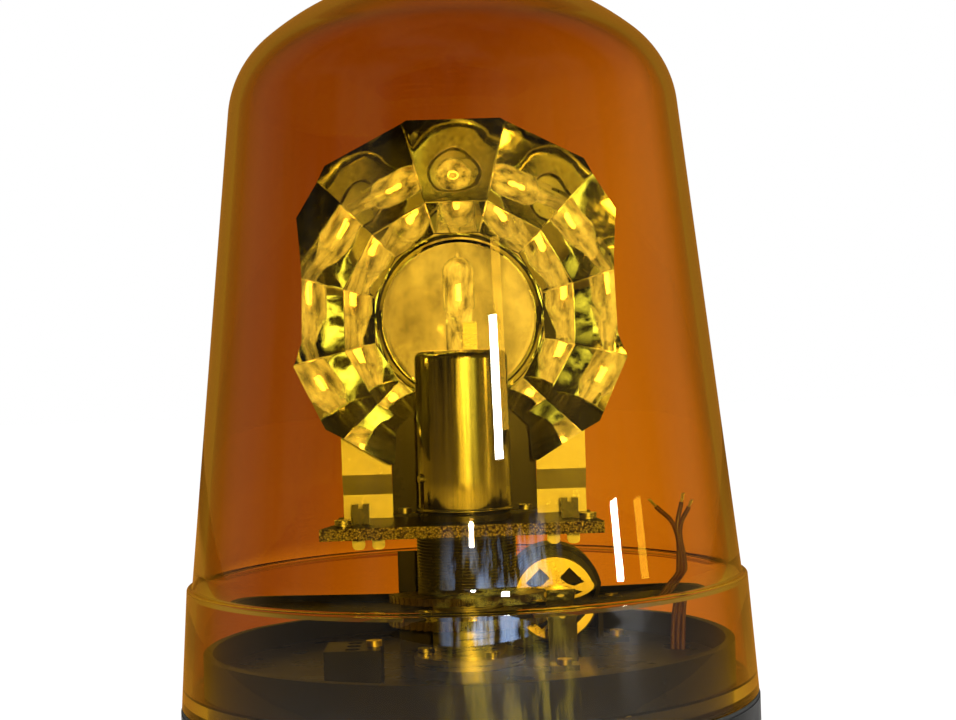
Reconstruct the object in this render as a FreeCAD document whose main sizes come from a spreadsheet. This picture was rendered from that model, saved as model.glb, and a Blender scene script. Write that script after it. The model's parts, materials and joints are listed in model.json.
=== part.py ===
# Rotating warning beacon: amber dome, halogen bulb, faceted reflector turned by a worm motor.
# Origin at the centre of the mounting face, +Z up; the reflector opens towards -Y at rest.
import FreeCAD, Part
import math
import os
import re
import Sketcher

doc = FreeCAD.newDocument("WarningBeacon")

# Driving dimensions in millimetres, degrees or counts.
SIZES = {
    "base_radius": 75.7, "base_bore": 73.1, "base_inner": 66.0, "base_floor": 4.0,
    "base_rim_top": 39.6, "base_ledge": 29.5, "skirt_radius": 82.5, "skirt_inner": 80.2,
    "skirt_bottom": 12.0, "flange_bottom": 19.0, "flange_top": 23.0,
    "foot_thick": 2.0, "foot_inner": 52.0, "bolt_circle": 65.0, "bolt_hole": 4.25,
    "boss_radius": 6.7, "boss_top": 12.0, "base_wall": 3.9, "gland_height": 10.8, "gland_radius": 6.0,
    "gland_thread": 5.9, "nut_corner": 8.2, "nut_length": 7.0, "cable_radius": 3.2,
    "breather_radius": 2.5, "breather_out": 40.0, "small_thread": 1.25, "deck_thread": 1.5,
    "dome_foot": 24.0, "dome_radius": 82.2, "dome_wall": 3.0, "dome_step": 57.7, "step_radius": 80.0,
    "taper_radius": 78.4, "taper_angle": 6.0, "taper_top": 191.0, "shoulder_radius": 30.0,
    "shoulder_angle": 50.0, "rim_inner": 76.1, "rim_top": 29.0, "screw_circle": 77.95,
    "deck_top": 32.5, "deck_radius": 72.9, "deck_screw_circle": 69.5,
    "pillar_radius": 8.0, "pillar_bore": 5.0, "pillar_top": 98.0, "pillar_foot": 16.0,
    "pillar_screw_circle": 12.8, "holder_radius": 12.2, "holder_foot": 78.0, "pin_radius": 1.0,
    "sleeve_radius": 13.4, "sleeve_wall": 1.0, "sleeve_foot": 75.9, "sleeve_top": 121.9,
    "bulb_radius": 4.6, "bulb_foot": 133.2, "bulb_top": 147.4, "flange_height": 109.0,
    "bush_radius": 10.0, "running_gap": 0.05, "hub_radius": 14.4, "hub_foot": 44.0, "plate_foot": 70.0,
    "plate_thick": 3.3, "plate_left": 40.5, "plate_right": 38.3, "plate_front": 20.0, "plate_back": 18.0,
    "plate_screw_x": 34.5, "plate_screw_y": -11.0, "shield_half": 21.6, "shield_height": 36.5,
    "shield_plane": 17.5, "shield_screw_x": 18.0, "shield_screw_y": 15.0, "post_x": 29.8,
    "gear_height": 47.2, "gear_face": 5.0, "gear_pitch": 22.4, "gear_teeth": 56, "tooth_half": 0.45,
    "addendum": 0.6, "dedendum": 0.9, "worm_offset": 26.3, "worm_pitch_radius": 3.9,
    "worm_length": 15.0, "worm_root": 3.0, "motor_face": 19.0, "motor_radius": 12.0,
    "motor_length": 30.0, "motor_shaft": 1.0, "rubber_radius": 13.6, "clamp_radius": 15.0,
    "mirror_height": 131.7, "mirror_focus": 22.0, "mirror_far": 491.0, "mirror_wall": 1.8,
    "mirror_outer": 57.0, "mirror_ring": 35.0, "mirror_inner": 26.6, "bowl_radius": 22.5,
    "mirror_boss_x": 27.6, "mirror_boss_z": 94.5, "leg_inner": 21.4, "leg_outer": 36.0,
    "leg_plane": 12.0, "sheet": 1.0, "bracket_plane": 24.0, "suppressor_y": 30.4,
    "terminal_x": -31.0, "terminal_y": -31.0, "terminal_pitch": 5.5, "lead_hole": 4.0,
}

sheet = doc.addObject("Spreadsheet::Sheet", "Sizes")
for row, (name, value) in enumerate(SIZES.items(), start=1):
    sheet.set(f"A{row}", name)
    sheet.set(f"B{row}", str(value))
    sheet.setAlias(f"B{row}", name)
doc.recompute()

NODES = []
ORIGIN = FreeCAD.Vector()
AXIS_X = FreeCAD.Vector(1, 0, 0)
AXIS_Y = FreeCAD.Vector(0, 1, 0)
AXIS_Z = FreeCAD.Vector(0, 0, 1)
UP = FreeCAD.Rotation()
ALONG_Y = FreeCAD.Rotation(AXIS_X, -90)
ALONG_X = FreeCAD.Rotation(AXIS_Y, 90)

# Half of the reflector's rim as (across, up) from its centre, and half of its notch.
MIRROR_RIM = [(13.0, 54.2), (35.9, 42.2), (44.4, 28.2), (44.4, 16.3), (45.0, -6.3), (47.2, -13.1),
              (38.6, -31.0), (21.1, -41.6)]
MIRROR_NOTCH = [(20.6, -80.0), (19.3, -32.2), (13.6, -26.8), (13.6, -20.6)]
TAB_CENTRES = (26.0, 31.9)
PIN_ANGLE = 205
PIN_TURN = FreeCAD.Rotation(AXIS_Z, PIN_ANGLE).multiply(ALONG_X)
# Where the mechanism is screwed to the deck, and how thick each foot is under the screw head.
FIXINGS = [("worm_offset - clamp_radius - 4.6", "motor_face + 15.5"),
           ("worm_offset + clamp_radius + 4.6", "motor_face + 15.5"),
           ("worm_offset + 0", -17), ("terminal_x + 5.4", "terminal_y"), ("0 - 1.5", 29.5)]
FIXING_LIFTS = (1.4, 1.4, 1.5, 10.5, 1.0)


def bound(expression):
    """Write an expression in the sheet's names so that any object can use it."""
    return re.sub(r"[A-Za-z_]\w*", lambda word: f"Sizes.{word.group()}" if word.group() in SIZES
                  else word.group(), str(expression))


def size(expression):
    """Value of an expression in the sheet's names."""
    result = sheet.evalExpression(bound(expression))
    return float(getattr(result, "Value", result))


def bind(thing, **expressions):
    """Bind properties to the sheet; a double underscore stands for a dot."""
    for name, expression in expressions.items():
        thing.setExpression(name.replace("__", "."), bound(expression))
    return thing


def place(thing, x=0, y=0, z=0, turn=UP):
    """Put an object at a point that may depend on the sheet."""
    thing.Placement = FreeCAD.Placement(FreeCAD.Vector(size(x), size(y), size(z)), turn)
    return bind(thing, Placement__Base__x=x, Placement__Base__y=y, Placement__Base__z=z)


def node(label, thing):
    """Name a finished sub-part."""
    thing.Label = label
    NODES.append(thing)
    return thing


def rod(radius, length, x=0, y=0, z=0, turn=UP):
    """Cylinder starting at a point."""
    thing = doc.addObject("Part::Cylinder", "Rod")
    bind(thing, Radius=radius, Height=length)
    return place(thing, x, y, z, turn)


def block(length, width, height, x=0, y=0, z=0, turn=UP):
    """Box whose lowest corner is at a point."""
    thing = doc.addObject("Part::Box", "Block")
    bind(thing, Length=length, Width=width, Height=height)
    return place(thing, x, y, z, turn)


def centred(length, width, height, x=0, y=0, z=0):
    """Box centred on x and y, standing on z."""
    return block(length, width, height, f"{x} - ({length}) / 2", f"{y} - ({width}) / 2", z)


def cut(base, *tools):
    """Base with each tool removed."""
    for tool in tools:
        result = doc.addObject("Part::Cut", "Cut")
        result.Base = base
        result.Tool = tool
        base = result
    return base


def fuse(*things):
    """One solid out of several touching ones."""
    result = doc.addObject("Part::MultiFuse", "Fuse")
    result.Shapes = list(things)
    return result


def group(*things):
    """Several separate solids that share one node."""
    result = doc.addObject("Part::Compound", "Group")
    result.Links = list(things)
    return result


def made(shape, name="Made"):
    """Object holding a shape worked out in code from the sheet."""
    thing = doc.addObject("Part::Feature", name)
    thing.Shape = shape
    thing.Placement = FreeCAD.Placement()
    return thing


def origin_plane(body, role):
    """One of the body's own origin planes."""
    return [plane for plane in body.Origin.OriginFeatures if plane.Role == role][0]


def outline(body, role, corners, lift=0):
    """Closed sketch of straight edges whose corners are bound to the sheet."""
    sketch = body.newObject("Sketcher::SketchObject", "Outline")
    sketch.AttachmentSupport = [(origin_plane(body, role), "")]
    sketch.MapMode = "FlatFace"
    sketch.setExpression("AttachmentOffset.Base.z", bound(lift))
    points = [FreeCAD.Vector(size(across), size(up), 0) for across, up in corners]
    for index, point in enumerate(points):
        sketch.addGeometry(Part.LineSegment(point, points[(index + 1) % len(points)]), False)
    for index, (across, up) in enumerate(corners):
        before = (index - 1) % len(points)
        sketch.addConstraint(Sketcher.Constraint("Coincident", before, 2, index, 1))
        point = points[index]
        for kind, expression, value in (("DistanceX", across, point.x), ("DistanceY", up, point.y)):
            number = sketch.addConstraint(Sketcher.Constraint(kind, index, 1, value))
            sketch.setExpression(f"Constraints[{number}]", bound(expression))
    return sketch


def turned(corners, name="Turned"):
    """Body of revolution about Z from (radius, height) corners."""
    body = doc.addObject("PartDesign::Body", name)
    sketch = outline(body, "XZ_Plane", corners)
    turn = body.newObject("PartDesign::Revolution", "Revolution")
    turn.Profile = sketch
    turn.ReferenceAxis = (sketch, ["V_Axis"])
    turn.Angle = 360
    return body


def padded(corners, foot, thick, role="XY_Plane", name="Padded"):
    """Body of a flat outline given a thickness."""
    body = doc.addObject("PartDesign::Body", name)
    sketch = outline(body, role, corners, foot)
    pad = body.newObject("PartDesign::Pad", "Pad")
    pad.Profile = sketch
    bind(pad, Length=thick)
    return body


def around(count, radius, start=0):
    """Points evenly spaced on a circle, as pairs of expressions."""
    angles = [math.radians(start + 360 * index / count) for index in range(count)]
    return [(f"({radius}) * {math.cos(angle):.9f}", f"({radius}) * {math.sin(angle):.9f}")
            for angle in angles]


def screw(x, y, z, thread, length, head, head_high, points_up=False):
    """Slotted screw with its head seated at z; the shank runs down, or up if points_up."""
    head_foot = f"{z} - ({head_high})" if points_up else z
    shank_foot = z if points_up else f"{z} - ({length})"
    slot_foot = f"{z} - ({head_high}) - 0.1" if points_up else f"{z} + ({head_high}) * 0.45"
    body = fuse(rod(thread, length, x, y, shank_foot), rod(head, head_high, x, y, head_foot))
    slot = centred(f"{head} * 2.4", f"{head} * 0.28", f"{head_high} * 0.55 + 0.1", x, y, slot_foot)
    return cut(body, slot)


def hole(x, y, foot, length, radius="small_thread"):
    """Upright cutter for a screw or wire hole, reaching 1 mm past the foot of the wall."""
    return rod(radius, f"{length} + 2", x, y, f"{foot} - 1")


def tube_along(points, radius):
    """Round wire through points, bent smoothly."""
    curve = Part.BSplineCurve()
    curve.interpolate([FreeCAD.Vector(*point) for point in points])
    path = Part.Wire([curve.toShape()])
    start = curve.tangent(curve.FirstParameter)[0]
    ring = Part.Wire([Part.Circle(FreeCAD.Vector(*points[0]), start, radius).toShape()])
    return path.makePipeShell([ring], True, False)


def base_housing():
    """Cup with a floor, a deck ledge, a sealing flange with a skirt, and three bolted feet."""
    cup = turned([
        (0, "foot_thick"), ("base_radius", "foot_thick"), ("base_radius", "flange_bottom"),
        ("skirt_inner", "flange_bottom"), ("skirt_inner", "skirt_bottom"),
        ("skirt_radius", "skirt_bottom"), ("skirt_radius", "flange_top"),
        ("base_radius", "flange_top"), ("base_radius", "base_rim_top"),
        ("base_bore", "base_rim_top"), ("base_bore", "base_ledge"), ("base_inner", "base_ledge"),
        ("base_inner", "base_ledge - 4"), ("base_radius - base_wall", "base_ledge - 10"),
        ("base_radius - base_wall", "foot_thick + base_floor"), (0, "foot_thick + base_floor")], "Cup")
    bosses = [rod("boss_radius", "boss_top - foot_thick", x, y, "foot_thick")
              for x, y in around(3, "bolt_circle", 30)]
    holes = [hole(x, y, 0, "boss_top", "bolt_hole") for x, y in around(3, "bolt_circle", 30)]
    holes += [hole(x, y, "base_ledge - 5", 8, "deck_thread")
              for x, y in around(3, "deck_screw_circle", 90)]
    holes += [hole(x, y, "flange_bottom", 8) for x, y in around(6, "screw_circle", 0)]
    holes.append(rod("gland_radius", 20, 0, "base_radius - 16", "gland_height", ALONG_Y))
    holes.append(rod("gland_radius + 2", 10, 0, "base_radius + 1.3", "gland_height", ALONG_Y))
    holes.append(hole(0, "0 - breather_out", "foot_thick", "base_floor", "breather_radius"))
    return node("base_housing", cut(fuse(cup, *bosses), *holes))


def foot_gasket():
    """Flat rubber ring under the housing, pierced by the three mounting bolts."""
    ring = turned([("foot_inner", 0), ("base_radius", 0), ("base_radius", "foot_thick"),
                   ("foot_inner", "foot_thick")], "Ring")
    holes = [hole(x, y, 0, "foot_thick", "bolt_hole") for x, y in around(3, "bolt_circle", 30)]
    return node("foot_gasket", cut(ring, *holes))


def dome_gasket():
    """Flat seal between the flange and the foot of the dome."""
    ring = turned([("rim_inner", "flange_top"), ("dome_radius", "flange_top"),
                   ("dome_radius", "dome_foot"), ("rim_inner", "dome_foot")], "Seal")
    holes = [hole(x, y, "flange_top", 1, "small_thread + 0.05") for x, y in around(6, "screw_circle", 0)]
    return node("dome_gasket", cut(ring, *holes))


def dome_profile(inset):
    """Points and arcs of the dome's outline, moved inwards by the wall thickness."""
    lean = math.radians(size("taper_angle"))
    join = math.radians(size("shoulder_angle"))
    start = size("taper_radius")
    high = size("taper_top")
    end = start - (high - size("dome_step")) * math.tan(lean)
    bend = size("shoulder_radius")
    centre = (end - bend * math.cos(lean), high - bend * math.sin(lean))
    crown = (centre[0] + bend * math.cos(join)) / math.cos(join)
    crown_centre = centre[1] + bend * math.sin(join) - crown * math.sin(join)

    def on_bend(angle):
        return FreeCAD.Vector(centre[0] + (bend - inset) * math.cos(angle), 0,
                              centre[1] + (bend - inset) * math.sin(angle))

    def on_crown(angle):
        return FreeCAD.Vector((crown - inset) * math.cos(angle), 0,
                              crown_centre + (crown - inset) * math.sin(angle))

    shoulder = Part.Arc(on_bend(lean), on_bend((lean + join) / 2), on_bend(join))
    cap = Part.Arc(on_crown(join), on_crown((join + math.pi / 2) / 2), on_crown(math.pi / 2))
    return shoulder, cap, on_bend(lean), on_crown(math.pi / 2)


def dome():
    """Tapered amber dome with a stepped foot, a rounded shoulder and a shallow crown."""
    outer_bend, outer_cap, outer_start, outer_top = dome_profile(0)
    inner_bend, inner_cap, inner_start, inner_top = dome_profile(size("dome_wall"))
    wall = size("dome_wall")
    foot = size("dome_foot")
    step = size("dome_step")
    outside = [(size("dome_radius"), foot), (size("step_radius"), step - 1.2),
               (size("step_radius") - 0.5, step - 0.3), (size("taper_radius"), step)]
    inside = [(size("taper_radius") - wall, step), (size("step_radius") - wall + 0.6, step - 4),
              (size("dome_radius") - wall, size("rim_top")), (size("rim_inner"), size("rim_top")),
              (size("rim_inner"), foot)]
    outer_line = [FreeCAD.Vector(r, 0, z) for r, z in outside] + [outer_start]
    inner_line = [inner_start] + [FreeCAD.Vector(r, 0, z) for r, z in inside]
    edges = list(Part.makePolygon(outer_line).Edges)
    edges += [outer_bend.toShape(), outer_cap.toShape(), Part.makeLine(outer_top, inner_top)]
    edges += [inner_cap.toShape(), inner_bend.toShape()]
    edges += list(Part.makePolygon(inner_line + [outer_line[0]]).Edges)
    wire = Part.Wire(Part.__sortEdges__(edges))
    shell = Part.Face(wire).revolve(ORIGIN, AXIS_Z, 360)
    holes = [hole(x, y, "dome_foot", 3, "small_thread + 0.15") for x, y in around(6, "screw_circle", 0)]
    return node("dome", cut(made(shell, "Shell"), *holes))


def dome_screws():
    """Six screws that pull the dome down from under the flange."""
    screws = [screw(x, y, "flange_bottom", "small_thread", 7.5, 2.1, 1.6, points_up=True)
              for x, y in around(6, "screw_circle", 0)]
    return node("dome_screws", group(*screws))


def chassis_plate():
    """Round deck on the ledge that carries the mechanism."""
    disc = rod("deck_radius", "deck_top - base_ledge", 0, 0, "base_ledge")
    thick = "deck_top - base_ledge"
    holes = [hole(0, 0, "base_ledge", thick, "pillar_bore")]
    holes += [hole(x, y, "base_ledge", thick, "lead_hole") for x, y in ((62, 15), (-12, 44))]
    holes += [hole(x, y, "base_ledge", thick, "deck_thread")
              for x, y in around(3, "deck_screw_circle", 90) + around(3, "pillar_screw_circle", 60)]
    holes += [hole(x, y, "base_ledge", thick) for x, y in FIXINGS]
    return node("chassis_plate", cut(disc, *holes))


def chassis_screws():
    """Three screws holding the deck down on its ledge."""
    screws = [screw(x, y, "deck_top", "deck_thread", 8, 2.9, 2.0)
              for x, y in around(3, "deck_screw_circle", 90)]
    return node("chassis_screws", group(*screws))


def centre_pillar():
    """Fixed hollow column that the rotor turns on."""
    body = turned([
        ("pillar_bore", "deck_top"), ("pillar_foot", "deck_top"), ("pillar_foot", "deck_top + 3"),
        (10.5, "deck_top + 3"), (10.5, "hub_foot - 1"), ("pillar_radius", "hub_foot - 1"),
        ("pillar_radius", "pillar_top"), ("pillar_bore", "pillar_top")], "Column")
    holes = [hole(x, y, "deck_top", 3, "deck_thread") for x, y in around(3, "pillar_screw_circle", 60)]
    return node("centre_pillar", cut(body, *holes))


def pillar_screws():
    """Three screws through the foot of the column."""
    screws = [screw(x, y, "deck_top + 3", "deck_thread", 7, 2.1, 1.6)
              for x, y in around(3, "pillar_screw_circle", 60)]
    return node("pillar_screws", group(*screws))


def thrust_washer():
    """Washer that carries the weight of the rotor."""
    return node("thrust_washer", turned([
        ("pillar_radius + running_gap", "hub_foot - 1"), (12, "hub_foot - 1"), (12, "hub_foot"),
        ("pillar_radius + running_gap", "hub_foot")], "Washer"))


def retaining_ring():
    """Ring in the column that keeps the rotor down."""
    return node("retaining_ring", turned([
        ("pillar_radius", "sleeve_foot"), (11, "sleeve_foot"), (11, "sleeve_foot + 1.2"),
        ("pillar_radius", "sleeve_foot + 1.2")], "Circlip"))


def lamp_holder():
    """Insulating holder on top of the column with a stepped bore for the bulb."""
    body = turned([
        ("pillar_radius", "holder_foot"), ("holder_radius", "holder_foot"),
        ("holder_radius", "flange_height"), (4.7, "flange_height"), (4.7, "pillar_top + 2.5"),
        (2.2, "pillar_top + 2.5"), (2.2, "pillar_top"), ("pillar_radius", "pillar_top")], "Holder")
    return node("lamp_holder", cut(body, rod("pin_radius", 4, *pin_start(9.2), PIN_TURN)))


def lamp_contact():
    """Centre contact pressing on the tip of the bulb cap."""
    return node("lamp_contact", rod(2.0, 4.4, 0, 0, "pillar_top + 0.2"))


def sleeve_pin():
    """Radial pin that holds and locates the sleeve."""
    return node("sleeve_pin", rod("pin_radius", 5.2, *pin_start(9.2), PIN_TURN))


def pin_start(radius):
    """Point at a radius on the pin's line, as expressions."""
    angle = math.radians(PIN_ANGLE)
    return (f"{radius * math.cos(angle):.6f}", f"{radius * math.sin(angle):.6f}", "holder_foot + 7.5")


def bulb_sleeve():
    """Thin metal tube over the holder with a rounded top, a bulb hole and a slot for the pin."""
    tube = turned([
        ("sleeve_radius - sleeve_wall", "sleeve_foot"), ("sleeve_radius + 0.4", "sleeve_foot"),
        ("sleeve_radius + 0.4", "sleeve_foot + 1.0"), ("sleeve_radius", "sleeve_foot + 1.5"),
        ("sleeve_radius", "sleeve_top - 2.6"), ("sleeve_radius - 0.4", "sleeve_top - 1.2"),
        ("sleeve_radius - 1.2", "sleeve_top - 0.4"), ("sleeve_radius - 2.6", "sleeve_top"),
        (6.2, "sleeve_top"), (6.2, "sleeve_top - 1"),
        ("sleeve_radius - sleeve_wall", "sleeve_top - 1")], "Tube")
    slot = block(6, 2.6, "holder_foot - sleeve_foot + 10", 0, 0, 0)
    turn = FreeCAD.Rotation(AXIS_Z, PIN_ANGLE)
    corner = turn.multVec(FreeCAD.Vector(10, -1.3, 0))
    place(slot, corner.x, corner.y, "sleeve_foot - 1", turn)
    return node("bulb_sleeve", cut(tube, slot))


def bulb_cap():
    """Metal cap with a focus flange and a clip up the side of the seal."""
    body = turned([
        (0, "flange_height - 6"), (4.5, "flange_height - 6"), (4.5, "flange_height"),
        (7.25, "flange_height"), (7.25, "flange_height + 1.7"), (5.6, "flange_height + 1.7"),
        (5.6, "sleeve_top + 0.1"), (0, "sleeve_top + 0.1")], "Cap")
    clip = block(4.0, 0.8, 9, 0.9, -3.6, "sleeve_top - 1")
    seat = centred(8.0, 3.6, 6, 0, 0, "sleeve_top - 5.5")
    return node("bulb_cap", cut(fuse(body, clip), seat))


def bulb_glass():
    """Quartz capsule with a pinched seal below and a drawn tip above."""
    capsule = turned([
        (0.9, "bulb_foot - 6"), (2.0, "bulb_foot - 6"), (3.4, "bulb_foot - 1.6"),
        ("bulb_radius", "bulb_foot + 1"), ("bulb_radius", "bulb_top - 2.2"),
        ("bulb_radius - 0.7", "bulb_top - 0.4"), (2.2, "bulb_top + 0.9"), (0.9, "bulb_top + 1.5"),
        (0.5, "bulb_top + 2.6"), (0, "bulb_top + 2.9"), (0, "bulb_top + 0.9"),
        (1.6, "bulb_top + 0.1"), ("bulb_radius - 1.6", "bulb_top - 1.2"),
        ("bulb_radius - 0.9", "bulb_top - 2.6"), ("bulb_radius - 0.9", "bulb_foot + 1.4"),
        (2.2, "bulb_foot - 1.0"), (0.9, "bulb_foot - 1.6")], "Capsule")
    pinch = centred(7.8, 3.4, "bulb_foot - sleeve_top + 1.4", 0, 0, "sleeve_top - 5.4")
    bore = rod(0.9, "bulb_foot - sleeve_top + 9", 0, 0, "sleeve_top - 6")
    return node("bulb_glass", cut(fuse(capsule, pinch), bore))


def bulb_filament():
    """Coiled filament on the axis with its support wire."""
    foot = size("bulb_foot + 2.6")
    seal = size("sleeve_top")
    coil_radius = 0.75
    coil = Part.makeHelix(0.62, 5.0, coil_radius)
    ring = Part.Wire([Part.Circle(FreeCAD.Vector(coil_radius, 0, 0), AXIS_Y, 0.17).toShape()])
    spring = Part.Wire(coil.Edges).makePipeShell([ring], True, True)
    spring.translate(FreeCAD.Vector(0, 0, foot))
    support = Part.makeCylinder(0.22, foot - seal, FreeCAD.Vector(0.62, 0, seal))
    return node("bulb_filament", made(spring.fuse(support), "Filament"))


def rotor_bush():
    """Plain bearing pressed in the rotor and running on the column."""
    return node("rotor_bush", turned([
        ("pillar_radius + running_gap", "hub_foot"), ("bush_radius", "hub_foot"),
        ("bush_radius", "plate_foot + plate_thick + 2.3"),
        ("pillar_radius + running_gap", "plate_foot + plate_thick + 2.3")], "Bush"))


def rotor_hub():
    """Ribbed hub between the gear and the rotor plate."""
    ribs = []
    for index in range(10):
        low = f"gear_height + gear_face / 2 + 3 + {index * 1.7:.1f}"
        ribs += [("hub_radius", low), ("hub_radius", f"{low} + 0.9"),
                 ("hub_radius - 0.6", f"{low} + 1.1"), ("hub_radius - 0.6", f"{low} + 1.5")]
    corners = [("bush_radius", "hub_foot"), (12.5, "hub_foot"),
               (12.5, "gear_height + gear_face / 2"), ("hub_radius", "gear_height + gear_face / 2")]
    corners += ribs
    corners += [("hub_radius", "plate_foot - 0.2"), ("hub_radius", "plate_foot"),
                ("bush_radius", "plate_foot")]
    return node("rotor_hub", turned(corners, "Hub"))


def rotor_gear():
    """Toothed ring driven by the worm; one tooth points along +X."""
    teeth = int(size("gear_teeth"))
    pitch = size("gear_pitch")
    rows = [(pitch - size("dedendum"), size("tooth_half") + 0.18), (pitch, size("tooth_half")),
            (pitch + size("addendum"), size("tooth_half") - 0.15)]
    flanks = [(radius, -half) for radius, half in rows]
    flanks += [(radius, half) for radius, half in reversed(rows)]
    points = []
    for index in range(teeth):
        turn = 2 * math.pi * index / teeth
        for radius, across in flanks:
            angle = turn + across / radius
            points.append(FreeCAD.Vector(radius * math.cos(angle), radius * math.sin(angle), 0))
    points.append(points[0])
    face = Part.Face(Part.makePolygon(points))
    solid = face.extrude(FreeCAD.Vector(0, 0, size("gear_face")))
    blank = place(made(solid, "Teeth"), 0, 0, "gear_height - gear_face / 2")
    foot = "gear_height - gear_face / 2"
    holes = [hole(x, y, foot, "gear_face", 1.8) for x, y in around(6, 17.2, 15)]
    return node("rotor_gear", cut(blank, hole(0, 0, foot, "gear_face", 12.5), *holes))


def rotor_plate():
    """Flat arm that carries the reflector, wider at the front than at the back."""
    arm = padded([("0 - plate_left", "0 - plate_front"), ("plate_right", "0 - plate_front"),
                  ("plate_right - 1.6", -6), ("plate_right - 1.0", "plate_back"),
                  ("2.6 - plate_left", "plate_back"), ("3.2 - plate_left", -6)],
                 "plate_foot", "plate_thick", name="Arm")
    holes = [hole(0, 0, "plate_foot", "plate_thick", "bush_radius")]
    for side in (-1, 1):
        for x in TAB_CENTRES:
            holes.append(centred(4.0, "sheet + 0.2", 8, side * x, "leg_plane + sheet / 2",
                                 "plate_foot - 1"))
        for across, along in (("plate_screw_x", "plate_screw_y"), ("shield_screw_x", "shield_screw_y")):
            holes.append(hole(f"({side}) * {across}", along, "plate_foot", "plate_thick"))
    return node("rotor_plate", cut(arm, *holes))


def rotor_collar():
    """Ring that clamps the plate on the hub."""
    return node("rotor_collar", turned([
        ("bush_radius", "plate_foot + plate_thick"), (13.3, "plate_foot + plate_thick"),
        (13.3, "plate_foot + plate_thick + 1.8"), (12.8, "plate_foot + plate_thick + 2.3"),
        ("bush_radius", "plate_foot + plate_thick + 2.3")], "Collar"))


def leg(side):
    """Bent sheet leg with two tabs that pass through the plate."""
    inner, outer = sorted((side * size("leg_inner"), side * size("leg_outer")))
    face = size("leg_plane")
    gauge = size("sheet")
    bend = size("plate_foot + plate_thick") + 7
    front = [(face, size("plate_foot + plate_thick")), (face, bend), (face - 2.5, bend + 6),
             (face - 2.5, bend + 19)]
    back = [(y + gauge, z) for y, z in reversed(front)]
    points = [FreeCAD.Vector(inner, y, z) for y, z in front + back + front[:1]]
    strip = Part.Face(Part.makePolygon(points)).extrude(FreeCAD.Vector(outer - inner, 0, 0))
    for x in TAB_CENTRES:
        corner = FreeCAD.Vector(side * x - 1.9, face, size("plate_foot") - 6)
        tab = Part.makeBox(3.8, gauge, size("plate_thick") + 6, corner)
        edges = [edge for edge in tab.Edges
                 if abs(edge.BoundBox.YLength - gauge) < 1e-6 and edge.BoundBox.ZMin < corner.z + 0.1]
        strip = strip.fuse(tab.makeFillet(1.4, edges))
    passage = Part.makeCylinder(1.5, 20, boss_point(side, 0), AXIS_Y)
    return strip.cut(passage).removeSplitter()


def boss_point(side, along):
    """Point on the axis of a reflector boss, on the left or the right."""
    return FreeCAD.Vector(side * size("mirror_boss_x"), along, size("mirror_boss_z"))


def reflector_legs():
    """Two bright sheet legs that hold the reflector on the rotor plate."""
    return node("reflector_legs", group(made(leg(-1), "LegLeft"), made(leg(1), "LegRight")))


def mirror_depth(radius):
    """Depth along Y of the reflecting ellipsoid, which has the filament at its near focus."""
    long_half = size("mirror_focus") + size("mirror_far") / 2
    short_square = long_half ** 2 - (size("mirror_far") / 2) ** 2
    return size("mirror_focus") - long_half * (1 - math.sqrt(1 - radius * radius / short_square))


def mirror_point(radius, index, behind):
    """Corner of a facet, moved behind the surface by a thickness."""
    angle = math.radians(15 + 30 * index)
    return FreeCAD.Vector(radius * math.cos(angle), mirror_depth(radius) + behind,
                          radius * math.sin(angle))


def facet(inner, outer, index):
    """Flat mirror panel between two radii in one of the twelve sectors."""
    wall = size("mirror_wall") * 1.25
    loops = []
    for behind in (0, wall):
        loops.append([mirror_point(inner, index, behind), mirror_point(outer, index, behind),
                      mirror_point(outer, index + 1, behind), mirror_point(inner, index + 1, behind)])
    front, back = loops
    faces = [Part.Face(Part.makePolygon(loop + loop[:1])) for loop in loops]
    for corner in range(4):
        after = (corner + 1) % 4
        ring = [front[corner], front[after], back[after], back[corner], front[corner]]
        faces.append(Part.Face(Part.makePolygon(ring)))
    return Part.makeSolid(Part.makeShell(faces))


def mirror_bowl():
    """Smooth round bowl with a raised lip at the middle of the reflector."""
    bowl = size("bowl_radius")
    wall = size("mirror_wall") * 1.1
    lip = size("mirror_inner") + 0.4
    front = [FreeCAD.Vector(bowl * step / 8, mirror_depth(bowl * step / 8), 0) for step in range(9)]
    back = [FreeCAD.Vector(point.x, point.y + wall, 0) for point in front]
    crest = mirror_depth(bowl) - 2.2
    curve = Part.BSplineCurve()
    curve.interpolate(front)
    rear = Part.BSplineCurve()
    rear.interpolate(back)
    rim = [front[-1], FreeCAD.Vector(bowl + 0.5, crest + 0.5, 0), FreeCAD.Vector(bowl + 1.4, crest, 0),
           FreeCAD.Vector(bowl + 2.4, crest + 0.4, 0), FreeCAD.Vector(lip, mirror_depth(lip) + 0.3, 0),
           FreeCAD.Vector(lip, mirror_depth(lip) + wall, 0), back[-1]]
    edges = [curve.toShape(), rear.toShape(), Part.makeLine(front[0], back[0])]
    edges += list(Part.makePolygon(rim).Edges)
    wire = Part.Wire(Part.__sortEdges__(edges))
    return Part.Face(wire).revolve(ORIGIN, AXIS_Y, 360)


def mirror_prism(half):
    """Solid with a mirrored outline that reaches right through the reflector."""
    corners = half + [(-x, z) for x, z in reversed(half)]
    loop = [FreeCAD.Vector(x, -60, z) for x, z in corners + corners[:1]]
    return Part.Face(Part.makePolygon(loop)).extrude(FreeCAD.Vector(0, 120, 0))


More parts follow.
